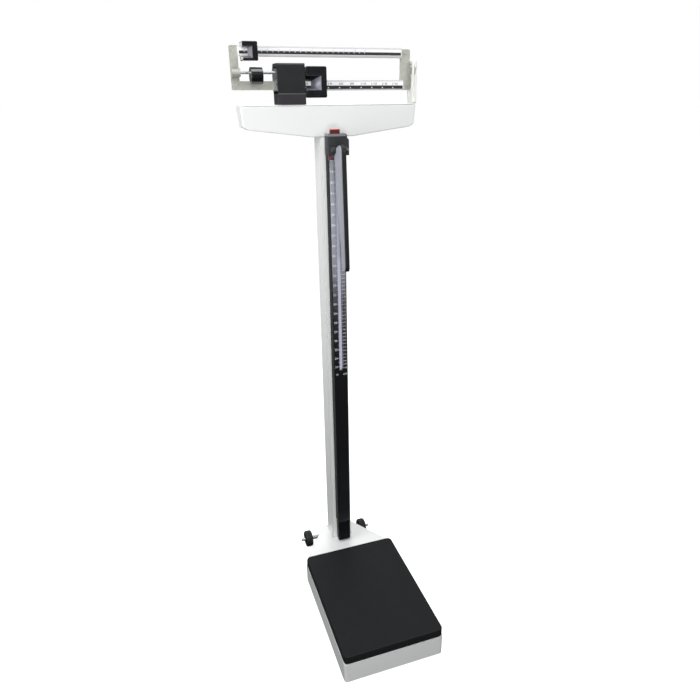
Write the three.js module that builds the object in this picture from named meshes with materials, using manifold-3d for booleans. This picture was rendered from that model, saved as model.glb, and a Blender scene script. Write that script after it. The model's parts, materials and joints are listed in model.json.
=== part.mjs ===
// Mechanical column scale: a platform on levers in a low base, a square column with a height rod
// on its front, and a two-bar weighing beam with sliding poises on a shelf box at eye level.
// Millimetres, +Z up, front towards -Y. Heights are above the floor; depths below are measured
// from the column's front face, and the whole model is moved at the end so that its origin is
// the middle of its footprint.
import * as THREE from "three";
import { mergeVertices } from "three/addons/utils/BufferGeometryUtils.js";
import Module from "manifold-3d";

const wasm = await Module();
wasm.setup();

// ---------------------------------------------------------------- driving dimensions
const GAP = 0.3;              // clearance between pieces that touch

const BASE = { halfW: 134, front: -443.2, back: -72, bottom: 1.5, top: 61, wall: 2.5, floor: 3,
  corner: 9 };
const NECK = { halfW: 45, back: 63, top: 74 };
const COVER = { halfW: 133.2, front: -442.4, back: -70.9, bottom: 63, top: 85.8, skin: 2, corner: 12 };
const FOOT_R = 14;

const COLUMN = { size: 60, wall: 2.5, corner: 6, top: 1252 };
const PROFILE = { halfW: 18.6, depth: 28.8, wall: 2.2, bottom: 150, top: 1251 };
const END_CAP_BOTTOM = 82;
const SLOT = { left: -4, right: 5, bottom: 656 };
const ROD = { halfW: 15.6, front: -26, back: -4, wall: 1.8, bottom: 190, top: 1250 };

const SLIDER = { halfW: 22, front: -38, back: -9, bottom: 1213, top: 1261, wingX: 28.5 };
const BUTTON = { left: -17, right: 7, front: -37, back: -31, bottom: 1254, top: 1274 };
const HINGE = { y: -50, z: 1226, r: 2.5, lugR: 8 };
const BLADE = { left: -8, web: 2.5, right: 2.4, thick: 3 };

const BOX = { halfTop: 211.5, halfLow: 207.5, top: 1320, shoulder: 1277, halfFlat: 50, bottom: 1252.3,
  depth: 60, wall: 2.5, lid: 2.7 };
const HOUSING = { left: -124, right: -60.8, front: -2, back: 50, top: 1408, crease: 1345, wall: 2 };

const BEAM_Y = 24;            // middle plane of the two bars
const BAR_HALF = 4;           // half the bars' thickness
const UPPER_BAR = { left: -203, right: 180.5, low: 1421, high: 1442 };
const LOWER_BAR = { left: -59.7, right: 186, low: 1352, high: 1374 };
const BAR_BEVEL = { depth: 1.6, high: 3.6, low: 4.6 };
const PLATE = { front: 28.3, back: 31.3, leftTop: 1443.5, rightTop: 1440.5 };
const LEFT_END = -221.7;
const POINTER_TIP = 225;
const POINTER_Z = 1395;
const FULCRUM = { x: -80, z: 1362 };
const LOAD_KNIFE_X = -105;
const PIVOT_BLOCK = { left: -117.5, right: -60, low: 1350, high: 1376, front: 18 };
const CHEEK = { left: -126, front: 5, back: 45, low: 1351, high: 1397.5 };
const BALANCE = { y: 11, z: 1388.6, rodR: 3, weightR: 17.4, left: -181.7, right: -155.5, drop: 5.8 };
const LARGE_POISE = { left: -59.2, right: -10.5, low: 1337, high: 1402.3, front: -2, back: 50,
  corner: 3.5, window: { width: 16, low: 1358.5, high: 1372 },
  flare: { width: 35, low: 1353.8, high: 1382.5 } };
const SMALL_POISE = { left: -196, right: -162.5, low: 1412.3, high: 1450.3, front: 5, back: 43,
  corner: 2.5, window: { width: 13, low: 1421.5, high: 1438.5 },
  flare: { width: 22, low: 1417.8, high: 1440.5 } };
const TRIG = { left: 208, right: 216, front: 8, back: 46, top: 1416.5, windowLow: 1338 };
const SIGHT = { left: 209.5, right: 213.5, low: 1385.5, high: 1400.5 };

const TRANSFER = { pivotX: 150, tipX: -112, low: 1292, high: 1302, front: 20, back: 27 };
const DRAFT_Y = 23.5;
const DRAFT_R = 3;

const LEVER = { low: 26, high: 36, halfSpan: 95, armHalf: 7, arm: 40, loadX: 80, standX: 60 };
const LONG_FULCRUM_Y = -415;
const SHORT_FULCRUM_Y = -95;
const SHORT_LOW = 42;
const LINK_Y = (LONG_FULCRUM_Y + SHORT_FULCRUM_Y) / 2;

const WHEEL = { r: 25, width: 21, x: 90, y: 77, z: 26, bore: 4.3 };
const AXLE = { r: 6, tipR: 4, shoulder: 76, half: 113.5 };

// ---------------------------------------------------------------- materials
const paint = (color, roughness, metalness = 0) =>
  new THREE.MeshStandardMaterial({ color, roughness, metalness });
const finishes = {
  enamel: () => paint(0xeceeed, 0.35),
  rubber: () => paint(0x222325, 0.75),
  blackPlastic: () => paint(0x26282a, 0.4),
  greyPlastic: () => paint(0x9fa1a8, 0.35),
  nickel: () => paint(0xb9b9ae, 0.35, 0.9),
  steel: () => paint(0xa5a8aa, 0.35, 0.9),
  blackPaint: () => paint(0x222325, 0.35),
  castIron: () => paint(0x4a4c4f, 0.6, 0.7),
  scaleSteel: () => paint(0xd6d8dc, 0.35, 0.8),
  red: () => paint(0xb3342c, 0.4),
};

// ---------------------------------------------------------------- geometry helpers
function block(x0, x1, y0, y1, z0, z1) {
  const geometry = new THREE.BoxGeometry(x1 - x0, y1 - y0, z1 - z0);
  return geometry.translate((x0 + x1) / 2, (y0 + y1) / 2, (z0 + z1) / 2);
}

function polygon(points) {
  return new THREE.Shape(points.map(([x, y]) => new THREE.Vector2(x, y)));
}

// A rectangle from (x0, y0) to (x1, y1) with round corners.
function roundRect(x0, x1, y0, y1, r) {
  const shape = new THREE.Shape();
  shape.moveTo(x0 + r, y0);
  shape.lineTo(x1 - r, y0);
  shape.absarc(x1 - r, y0 + r, r, -Math.PI / 2, 0);
  shape.lineTo(x1, y1 - r);
  shape.absarc(x1 - r, y1 - r, r, 0, Math.PI / 2);
  shape.lineTo(x0 + r, y1);
  shape.absarc(x0 + r, y1 - r, r, Math.PI / 2, Math.PI);
  shape.lineTo(x0, y0 + r);
  shape.absarc(x0 + r, y0 + r, r, Math.PI, Math.PI * 1.5);
  return shape;
}

// An outline in the XY plane, drawn up from z0 to z1.
function prismZ(shape, z0, z1, curveSegments = 6) {
  const geometry = new THREE.ExtrudeGeometry(shape, { depth: z1 - z0, bevelEnabled: false, curveSegments });
  return geometry.translate(0, 0, z0);
}

// An outline whose points are (x, z), drawn back from y0 to y1.
function prismY(shape, y0, y1, curveSegments = 6) {
  const geometry = new THREE.ExtrudeGeometry(shape, { depth: y1 - y0, bevelEnabled: false, curveSegments });
  return geometry.rotateX(Math.PI / 2).translate(0, y1, 0);
}

// An outline whose points are (y, z), drawn right from x0 to x1.
function prismX(shape, x0, x1, curveSegments = 6) {
  const geometry = new THREE.ExtrudeGeometry(shape, { depth: x1 - x0, bevelEnabled: false, curveSegments });
  return geometry.rotateX(Math.PI / 2).rotateZ(Math.PI / 2).translate(x0, 0, 0);
}

function rodX(r, x0, x1, y, z, sides = 24) {
  const rod = new THREE.CylinderGeometry(r, r, x1 - x0, sides).rotateZ(Math.PI / 2);
  return rod.translate((x0 + x1) / 2, y, z);
}

function rodY(r, y0, y1, x, z, sides = 24) {
  return new THREE.CylinderGeometry(r, r, y1 - y0, sides).translate(x, (y0 + y1) / 2, z);
}

function rodZ(r, z0, z1, x, y, sides = 24) {
  const rod = new THREE.CylinderGeometry(r, r, z1 - z0, sides).rotateX(Math.PI / 2);
  return rod.translate(x, y, (z0 + z1) / 2);
}

// A profile of (radius, x) points turned about the X axis.
function turnedX(profile, sides = 32) {
  const points = profile.map(([r, x]) => new THREE.Vector2(r, x));
  return new THREE.LatheGeometry(points, sides).rotateZ(-Math.PI / 2);
}

// A six-sided solid between a front rectangle and a back rectangle, each [x0, x1, z0, z1].
function taperedBlock(frontRect, yFront, backRect, yBack) {
  const corners = ([x0, x1, z0, z1], y) => [x0, y, z0, x1, y, z0, x1, y, z1, x0, y, z1];
  const vertices = [...corners(frontRect, yFront), ...corners(backRect, yBack)];
  const faces = [0, 1, 2, 0, 2, 3, 5, 4, 7, 5, 7, 6, 4, 0, 3, 4, 3, 7, 1, 5, 6, 1, 6, 2,
    3, 2, 6, 3, 6, 7, 4, 5, 1, 4, 1, 0];
  const geometry = new THREE.BufferGeometry();
  geometry.setAttribute("position", new THREE.Float32BufferAttribute(vertices, 3));
  geometry.setIndex(faces);
  return geometry;
}

// ---------------------------------------------------------------- booleans
function toSolid(geometry) {
  const bare = geometry.clone();
  bare.deleteAttribute("normal");
  bare.deleteAttribute("uv");
  const merged = mergeVertices(bare, 1e-4);
  return new wasm.Manifold(new wasm.Mesh({
    numProp: 3,
    vertProperties: new Float32Array(merged.attributes.position.array),
    triVerts: new Uint32Array(merged.index.array),
  }));
}

function fromSolid(solid) {
  const result = solid.getMesh();
  const geometry = new THREE.BufferGeometry();
  geometry.setAttribute("position", new THREE.Float32BufferAttribute(result.vertProperties, 3));
  geometry.setIndex(new THREE.Uint32BufferAttribute(result.triVerts, 1));
  geometry.computeVertexNormals();
  return geometry;
}

function join(first, ...rest) {
  return fromSolid(rest.reduce((solid, piece) => solid.add(toSolid(piece)), toSolid(first)));
}

function cut(body, ...tools) {
  return fromSolid(tools.reduce((solid, tool) => solid.subtract(toSolid(tool)), toSolid(body)));
}

// ---------------------------------------------------------------- the model
const scale = new THREE.Group();

function add(name, geometry, finish) {
  const mesh = new THREE.Mesh(geometry, finishes[finish]());
  mesh.name = name;
  scale.add(mesh);
}

const mirrored = [["left", -1], ["right", 1]];

// The base's plan: a rectangle with round front corners, tapering behind into the neck.
const neckSlope = (BASE.halfW - NECK.halfW) / (NECK.back - BASE.back);

function basePlan(inset) {
  const halfW = BASE.halfW - inset;
  const front = BASE.front + inset;
  const back = NECK.back - inset;
  const slant = inset * Math.hypot(1, neckSlope);
  const neckX = (y) => BASE.halfW - slant - (y - BASE.back) * neckSlope;
  const bendY = BASE.back - (slant - inset) / neckSlope;
  const r = BASE.corner - inset;
  const shape = new THREE.Shape();
  shape.moveTo(-halfW + r, front);
  shape.lineTo(halfW - r, front);
  shape.absarc(halfW - r, front + r, r, -Math.PI / 2, 0);
  shape.lineTo(halfW, bendY);
  shape.lineTo(neckX(back), back);
  shape.lineTo(-neckX(back), back);
  shape.lineTo(-halfW, bendY);
  shape.absarc(-halfW + r, front + r, r, Math.PI, Math.PI * 1.5);
  return shape;
}

function neckPlan(inset) {
  const front = COVER.back + 1.5 + inset;
  const back = NECK.back - inset;
  const slant = inset * Math.hypot(1, neckSlope);
  const neckX = (y) => BASE.halfW - slant - (y - BASE.back) * neckSlope;
  return polygon([[-neckX(front), front], [neckX(front), front], [neckX(back), back],
    [-neckX(back), back]]);
}

function buildBase() {
  const floor = BASE.bottom + BASE.floor;
  add("base_pan", cut(prismZ(basePlan(0), BASE.bottom, BASE.top),
    prismZ(basePlan(BASE.wall), floor, BASE.top + 1)), "enamel");

  const columnHole = block(-COLUMN.size / 2 - GAP, COLUMN.size / 2 + GAP, -GAP,
    COLUMN.size + GAP, BASE.top - 1, NECK.top + 1);
  add("neck_cover", cut(prismZ(neckPlan(0), BASE.top + GAP, NECK.top),
    prismZ(neckPlan(BASE.wall), BASE.top, NECK.top - BASE.wall), columnHole), "enamel");

  for (const [side, sign] of mirrored) {
    for (const [end, y] of [["front", BASE.front + 28], ["rear", BASE.back - 22]]) {
      add(`foot_${end}_${side}`, rodZ(FOOT_R, 0, BASE.bottom - GAP, sign * (BASE.halfW - 26), y), "rubber");
    }
  }
}

function buildPlatform() {
  const { halfW, front, back, top, skin, corner, bottom } = COVER;
  const tread = 3;
  add("platform_cover", cut(
    prismZ(roundRect(-halfW, halfW, front, back, corner), bottom, top, 5),
    prismZ(roundRect(-halfW + skin, halfW - skin, front + skin, back - skin, corner - skin), bottom - 1,
      top - tread, 5),
  ), "rubber");

  const inset = skin + GAP;
  const wall = 2;
  const low = bottom + 1;
  const high = top - tread - GAP;
  const tray = cut(
    prismZ(roundRect(-halfW + inset, halfW - inset, front + inset, back - inset, corner - inset),
      low, high, 4),
    block(-halfW + inset + wall, halfW - inset - wall, front + inset + wall, back - inset - wall, low - 1,
      high - wall),
  );
  const posts = [];
  for (const y of [LONG_FULCRUM_Y + LEVER.arm, SHORT_FULCRUM_Y - LEVER.arm]) {
    for (const x of [-LEVER.loadX, LEVER.loadX]) {
      posts.push(rodZ(6, LEVER.high + 1, high - wall + 0.5, x, y, 16));
    }
  }
  add("platform_frame", join(tray, ...posts), "castIron");
}

// A torsion-bar lever: a cross bar, a long arm to its nose, and two short arms under the platform.
function leverBody(fulcrumY, noseY, low, high) {
  const toNose = Math.sign(noseY - fulcrumY);
  const bar = 8;
  const crossBar = block(-LEVER.halfSpan, LEVER.halfSpan, fulcrumY - bar, fulcrumY + bar,
    LEVER.low, LEVER.high);
  const armStart = Math.min(fulcrumY, noseY);
  const armEnd = Math.max(fulcrumY, noseY);
  const arm = block(-LEVER.armHalf, LEVER.armHalf, armStart, armEnd, low, high);
  const loadEnd = fulcrumY + toNose * (LEVER.arm + 8);
  const loadArms = [-LEVER.loadX, LEVER.loadX].map((x) =>
    block(x - 7, x + 7, Math.min(fulcrumY, loadEnd), Math.max(fulcrumY, loadEnd), LEVER.low, LEVER.high));
  return { crossBar, arm, loadArms };
}

function buildLevers() {
  const long = leverBody(LONG_FULCRUM_Y, DRAFT_Y + 8, LEVER.low, LEVER.high);
  add("long_lever", join(long.crossBar, long.arm, ...long.loadArms), "castIron");

  // The short lever's arm runs above the long one's, on a raised bridge over its cross bar.
  const short = leverBody(SHORT_FULCRUM_Y, LINK_Y - 8, SHORT_LOW, SHORT_LOW + 8);
  const bridge = block(-20, 20, SHORT_FULCRUM_Y - 8, SHORT_FULCRUM_Y + 8, LEVER.high - 1, SHORT_LOW + 8);
  const armPassage = block(-LEVER.armHalf - 2, LEVER.armHalf + 2, SHORT_FULCRUM_Y - 9, SHORT_FULCRUM_Y + 9,
    LEVER.low - 1, LEVER.high + 2);
  add("short_lever", cut(join(short.crossBar, bridge, short.arm, ...short.loadArms), armPassage),
    "castIron");

  for (const [side, sign] of mirrored) {
    for (const [lever, y] of [["long", LONG_FULCRUM_Y], ["short", SHORT_FULCRUM_Y]]) {
      const x = sign * LEVER.standX;
      add(`${lever}_lever_stand_${side}`,
        block(x - 7, x + 7, y - 6, y + 6, BASE.bottom + BASE.floor + GAP, LEVER.low - GAP), "castIron");
    }
  }

  // A closed stirrup that hangs the short lever's nose on the long lever's arm.
  const stirrupIn = LEVER.armHalf + 1.5;
  const stirrupOut = stirrupIn + 3;
  add("lever_stirrup", cut(
    block(-stirrupOut, stirrupOut, LINK_Y - 4, LINK_Y + 4, LEVER.low - 4, SHORT_LOW + 12),
    block(-stirrupIn, stirrupIn, LINK_Y - 5, LINK_Y + 5, LEVER.low - 1, SHORT_LOW + 9),
  ), "steel");
}

// A U-shaped foot plate round three sides of the column.
function flange(hole, bottom) {
  const reach = 10;
  const out = hole + reach;
  const back = COLUMN.size - reach;
  return prismZ(polygon([[-out, -3 * reach], [out, -3 * reach], [out, back], [hole, back], [hole, -GAP],
    [-hole, -GAP], [-hole, back], [-out, back]]), bottom, bottom + 6);
}

function buildColumn() {
  const half = COLUMN.size / 2;
  const { size, wall, corner, top } = COLUMN;
  const bottom = BASE.bottom + BASE.floor + GAP;
  const outside = prismZ(roundRect(-half, half, 0, size, corner), bottom, top, 5);
  const inside = prismZ(roundRect(-half + wall, half - wall, wall, size - wall, corner - wall),
    bottom - 1, top + 1, 5);
  const leverSlot = block(-14, 14, -1, wall + 1, LEVER.low - 10, LEVER.high + 14);
  add("column_tube", cut(outside, inside, leverSlot), "enamel");
  add("column_flange", flange(half + GAP, bottom), "castIron");
  add("column_lower_screw", rodX(3.5, half + GAP, half + 2.8, size / 2, NECK.top + 21, 12), "steel");
}

function buildHeightRod() {
  const { halfW, depth, wall, bottom, top } = PROFILE;
  const back = -GAP;
  add("height_rod_profile", cut(
    prismZ(roundRect(-halfW, halfW, -depth, back, 2), bottom + GAP, top, 3),
    block(-halfW + wall, halfW - wall, -depth + wall, back - wall, bottom - 1, top + 1),
    block(SLOT.left, SLOT.right, -depth - 1, -depth + wall + 1, SLOT.bottom, top + 1),
  ), "blackPlastic");
  add("profile_end_cap", prismZ(roundRect(-halfW + 0.3, halfW - 0.3, -depth, -depth + 20, 3),
    END_CAP_BOTTOM, bottom, 3), "blackPlastic");
  const stopR = 3.6;
  add("slot_stop", rodY(stopR, -depth - 1, -depth + 2.5, (SLOT.left + SLOT.right) / 2,
    SLOT.bottom + stopR + GAP, 16), "steel");
  add("inner_rod", cut(
    block(-ROD.halfW, ROD.halfW, ROD.front, ROD.back, ROD.bottom, ROD.top),
    block(-ROD.halfW + ROD.wall, ROD.halfW - ROD.wall, ROD.front + ROD.wall, ROD.back + 1, ROD.bottom - 1,
      ROD.top + 1),
  ), "nickel");
}

function buildSlider() {
  const { halfW, front, back, bottom, top, wingX } = SLIDER;
  const faceOutline = polygon([[-halfW, bottom], [wingX, bottom], [wingX, top - 14], [wingX - 2, top - 11],
    [halfW + 2, top - 9], [halfW + 2, top - 3], [halfW - 1, top], [-halfW, top]]);
  const railX = PROFILE.halfW + 0.5;
  const railFront = -PROFILE.depth - 0.5;
  const shell = cut(prismY(faceOutline, front, back),
    block(-railX, railX, railFront, back + 1, bottom - 1, top + 1));
  const tongue = block(SLOT.left + 0.6, SLOT.right - 0.6, railFront - 1, ROD.front - GAP, bottom + 6,
    top - 14);
  const lugs = [[-19, -11.5], [12, 18]].map(([x0, x1]) => join(
    rodX(HINGE.lugR, x0, x1, HINGE.y, HINGE.z, 20),
    block(x0, x1, HINGE.y, front + 1, HINGE.z - HINGE.lugR, HINGE.z + HINGE.lugR)));
  const pinHole = rodX(HINGE.r + GAP, -30, 21, HINGE.y, HINGE.z, 16);
  const buttonPocket = block(BUTTON.left - 0.4, BUTTON.right + 0.4, BUTTON.front - 0.4, BUTTON.back + 0.4,
    BUTTON.bottom - 6, top + 1);
  add("slider_body", cut(join(shell, tongue, ...lugs), pinHole, buttonPocket), "blackPlastic");
  add("release_button", prismZ(roundRect(BUTTON.left, BUTTON.right, BUTTON.front, BUTTON.back, 1.5),
    BUTTON.bottom, BUTTON.top, 4), "red");
  add("index_mark", prismY(polygon([[-halfW + 0.2, bottom - 9.5], [-halfW + 13, bottom - 9.5],
    [-halfW + 13, bottom - 7.5], [-halfW + 8, bottom - GAP], [-halfW + 0.2, bottom - GAP]]),
    front + 0.5, railFront - 0.5), "red");
  add("headpiece_pin", rodX(HINGE.r, -18.8, 17.8, HINGE.y, HINGE.z, 16), "steel");
}

// The measuring blade, folded down in front of the profile: its outline as (y, z) points.
function bladeOutline(inset) {
  const shape = new THREE.Shape();
  shape.moveTo(-43 - inset, 1203);
  shape.lineTo(-86 - inset, 963 + inset);
  shape.quadraticCurveTo(-88 - inset, 952 + inset, -98, 951.5 + inset);
  shape.quadraticCurveTo(-110 + inset, 951.5 + inset, -110.5 + inset, 965);
  shape.lineTo(-97 + inset, 1224);
  shape.quadraticCurveTo(-95 + inset, 1240 - inset, -84, 1240 - inset);
  shape.quadraticCurveTo(-58, 1237 - inset, -43 - inset, 1214);
  return shape;
}

function buildHeadpiece() {
  const { left, web, right, thick } = BLADE;
  const outline = prismX(bladeOutline(0), left, right, 5);
  const hollow = prismX(bladeOutline(thick), left + web, right + 1, 5);
  const hub = rodX(HINGE.lugR - 0.5, left - 3, right + 7, HINGE.y, HINGE.z, 20);
  const pinHole = rodX(HINGE.r + GAP, -20, 20, HINGE.y, HINGE.z, 16);
  add("headpiece_arm", cut(join(cut(outline, hollow), hub), pinHole), "blackPlastic");
  const hubClear = rodX(HINGE.lugR, -20, 20, HINGE.y, HINGE.z, 20);
  add("headpiece_panel", cut(prismX(bladeOutline(1.2), left - 1.8, left - GAP, 5), hubClear),
    "greyPlastic");
}

function boxOutline(inset) {
  const { halfTop, halfLow, top, shoulder, halfFlat, bottom } = BOX;
  return polygon([
    [-halfTop + inset, top], [-halfLow + inset, shoulder + inset / 2],
    [-halfLow + 10, shoulder - 6 + inset], [-halfFlat, bottom + inset], [halfFlat, bottom + inset],
    [halfLow - 10, shoulder - 6 + inset], [halfLow - inset, shoulder + inset / 2], [halfTop - inset, top],
  ]);
}

function buildShelfBox() {
  const { halfTop, depth, wall, bottom, top, lid } = BOX;
  const raised = prismY(boxOutline(wall), wall, depth - wall);
  const openTop = block(-halfTop + wall, halfTop - wall, wall, depth - wall, top - 1, top + 1);
  const draftHole = block(-24, 24, 6, depth - 6, bottom - 1, bottom + wall + 1);
  add("shelf_box", cut(prismY(boxOutline(0), 0, depth), raised, openTop, draftHole), "enamel");

  const linkHole = block(LOAD_KNIFE_X - 12, LOAD_KNIFE_X + 12, BEAM_Y - 16, BEAM_Y + 15,
    top - 1, top + lid + 1);
  const topShape = roundRect(-halfTop, halfTop, 0, depth, 5);
  add("shelf_top", cut(prismZ(topShape, top + GAP, top + lid, 3), linkHole), "enamel");
}

function buildHousing() {
  const { left, right, front, back, top, crease, wall } = HOUSING;
  const bottom = BOX.top + BOX.lid + GAP;
  const step = 1;
  const round = 7;
  const side = polygon([[front, bottom], [back, bottom], [back, top - round],
    [back - round / 3, top - round / 3], [back - round, top], [front + 4, top], [front + step, top - 3],
    [front + step, crease + 1.6], [front, crease - 0.4]]);
  const inner = block(left + wall, right - wall, front + wall + step, back - wall, bottom - 1,
    top - wall - 2);
  const beamWay = block(left + wall + 1, right + 1, BEAM_Y - 12, BEAM_Y + 13, PIVOT_BLOCK.low - 7,
    PIVOT_BLOCK.high + 7);
  const swing = 2.5;
  const cheekWay = block(left - 1, left + wall + 1, CHEEK.front - swing, CHEEK.back + swing,
    CHEEK.low - swing * 2, CHEEK.high + swing);
  add("fulcrum_housing", cut(prismX(side, left, right), inner, beamWay, cheekWay), "blackPlastic");

  // A forked stand whose two cheeks carry the main knife edge.
  const standBase = block(FULCRUM.x - 15, FULCRUM.x + 14, 6, 44, bottom, bottom + 4);
  const cheekOutline = polygon([[FULCRUM.x - 12, bottom + 3], [FULCRUM.x + 12, bottom + 3],
    [FULCRUM.x + 8, FULCRUM.z + 4], [FULCRUM.x + 3.8, FULCRUM.z + 4], [FULCRUM.x, FULCRUM.z - 5.2],
    [FULCRUM.x - 3.8, FULCRUM.z + 4], [FULCRUM.x - 8, FULCRUM.z + 4]]);
  add("fulcrum_stand", join(standBase, prismY(cheekOutline, 8, 12), prismY(cheekOutline, 38, 42)), "steel");
}

// A knife edge: a three-sided bar across the beam, its edge pointing down (-1) or up (+1).
function knife(x, z, y0, y1, edge) {
  return prismY(polygon([[x - 3, z - edge * 3], [x + 3, z - edge * 3], [x, z + edge * 3.6]]), y0, y1);
}

// The pressed end plates behind the bars; the left one carries the balance rod in a joggle, and
// the right one ends in the pointer that swings in the trig loop.
function buildEndPlates() {
  const { front, back, leftTop, rightTop } = PLATE;
  const low = LOWER_BAR.low;
  const leftStep = UPPER_BAR.left;
  const plateRight = PIVOT_BLOCK.left + 6;
  const leftOutline = polygon([[LEFT_END, low + 4], [LEFT_END + 2, low + 1.5], [plateRight, low + 1.5],
    [plateRight, low + 20], [leftStep, low + 20], [leftStep, UPPER_BAR.low + 2],
    [SMALL_POISE.left - 1, UPPER_BAR.low + 2], [SMALL_POISE.left - 1, UPPER_BAR.high],
    [leftStep, leftTop], [LEFT_END + 3, leftTop], [LEFT_END, leftTop - 3]]);
  const joggleR = 8.5;
  const joggleX = LEFT_END + 0.5;
  const joggleBack = BALANCE.y + 3;
  const joggle = join(rodX(joggleR, joggleX, leftStep, joggleBack, BALANCE.z, 20),
    block(joggleX, leftStep, joggleBack, front + 0.5, BALANCE.z - joggleR, BALANCE.z + joggleR));
  const rodBore = rodX(BALANCE.rodR + 0.2, LEFT_END - 1, leftStep + 1, BALANCE.y, BALANCE.z, 16);
  add("left_end_plate", cut(join(prismY(leftOutline, front, back), joggle), rodBore), "nickel");

  const lowBack = LOWER_BAR.right - 5.5;
  const highBack = UPPER_BAR.right - 6.5;
  const edgeX = TRIG.left - 2;
  const rightOutline = polygon([[lowBack, low], [edgeX, low], [edgeX + 3.5, low + 5],
    [edgeX + 4.5, low + 22], [edgeX + 1.5, POINTER_Z - 8], [POINTER_TIP, POINTER_Z - 5],
    [POINTER_TIP, POINTER_Z + 5], [edgeX, POINTER_Z + 7], [edgeX, rightTop - 4],
    [edgeX - 1.2, rightTop - 1.2], [edgeX - 4, rightTop], [highBack, rightTop],
    [highBack, UPPER_BAR.low + 2], [lowBack, UPPER_BAR.low]]);
  add("right_end_plate", prismY(rightOutline, front, back), "nickel");

  const rivets = [["upper_left", -212, 1431], ["lower_left", -211, 1363], ["upper_right", 192, 1431],
    ["lower_right", 197, 1363]];
  for (const [place, x, z] of rivets) {
    add(`rivet_${place}`, rodY(3, front - 1.5, front - GAP, x, z, 12), "nickel");
  }
}

function buildBeam() {
  // Each bar's front face is bevelled along its top and bottom edges.
  const bar = ({ left, right, low, high }) => {
    const front = BEAM_Y - BAR_HALF;
    const back = BEAM_Y + BAR_HALF;
    return prismX(polygon([[front, low + BAR_BEVEL.low], [front + BAR_BEVEL.depth, low], [back, low],
      [back, high], [front + BAR_BEVEL.depth, high], [front, high - BAR_BEVEL.high]]), left, right);
  };
  add("upper_bar", bar(UPPER_BAR), "scaleSteel");
  add("lower_bar", bar(LOWER_BAR), "scaleSteel");
  buildEndPlates();

  const { left, right, low, high, front } = PIVOT_BLOCK;
  const back = PLATE.front - GAP;
  const knifeHole = (x, z) => block(x - 3.4, x + 3.4, front - 1, back + 1, z - 4.2, z + 4.2);
  const cheek = block(CHEEK.left, left + 0.5, CHEEK.front, CHEEK.back, CHEEK.low, CHEEK.high);
  const plateSlot = block(CHEEK.left - 1, left + 1, back, PLATE.back + GAP, CHEEK.low - 1,
    LOWER_BAR.low + 20 + GAP);
  add("pivot_block", cut(join(block(left, right, front, back, low, high), cheek), plateSlot,
    knifeHole(FULCRUM.x, FULCRUM.z), knifeHole(LOAD_KNIFE_X, FULCRUM.z)), "steel");
  add("fulcrum_knife", knife(FULCRUM.x, FULCRUM.z, 7, 43, -1), "steel");
  add("load_knife", knife(LOAD_KNIFE_X, FULCRUM.z, 10, 36, 1), "steel");

  const { y, z, rodR, weightR, drop } = BALANCE;
  add("balance_rod", rodX(rodR, LEFT_END + 1, CHEEK.left - GAP, y, z, 16), "steel");
  add("balance_weight", cut(rodX(weightR, BALANCE.left, BALANCE.right, y, z - drop, 28),
    rodX(rodR + 0.25, BALANCE.left - 1, BALANCE.right + 1, y, z, 16)), "blackPaint");
}

// A poise: a block that wraps its bar, with a funnel-shaped reading window open to its left.
// The funnel narrows from the flare, at the block's face, to the window, at the bar.
function poise({ left, right, low, high, front, back, corner, window, flare }, bar) {
  const body = prismY(roundRect(left, right, low, high, corner), front, back, 3);
  const clear = 0.5;
  const barWay = block(left - 1, right + 1, BEAM_Y - BAR_HALF - clear, BEAM_Y + BAR_HALF + clear,
    bar.low - clear, bar.high + clear);
  const opening = (hole) => [left - 1, left + hole.width, hole.low, hole.high];
  const view = taperedBlock(opening(flare), front - 0.5, opening(window), BEAM_Y - BAR_HALF);
  return cut(body, barWay, view);
}

function buildPoises() {
  add("large_poise", poise(LARGE_POISE, LOWER_BAR), "blackPaint");
  add("small_poise", poise(SMALL_POISE, UPPER_BAR), "blackPaint");
}

function buildTrigLoop() {
  const { left, right, front, back, top, windowLow } = TRIG;
  const bottom = BOX.top + BOX.lid + GAP;
  const side = roundRect(front, back, bottom, top, 4);
  const windowFront = PLATE.front - 8;
  const window = block(left - 1, right + 1, windowFront, PLATE.back + 7, windowLow, top - 7);
  const sight = block(SIGHT.left, SIGHT.right, front - 1, windowFront + 1, SIGHT.low, SIGHT.high);
  add("trig_loop", cut(prismX(side, left, right, 4), window, sight), "enamel");
}

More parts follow.
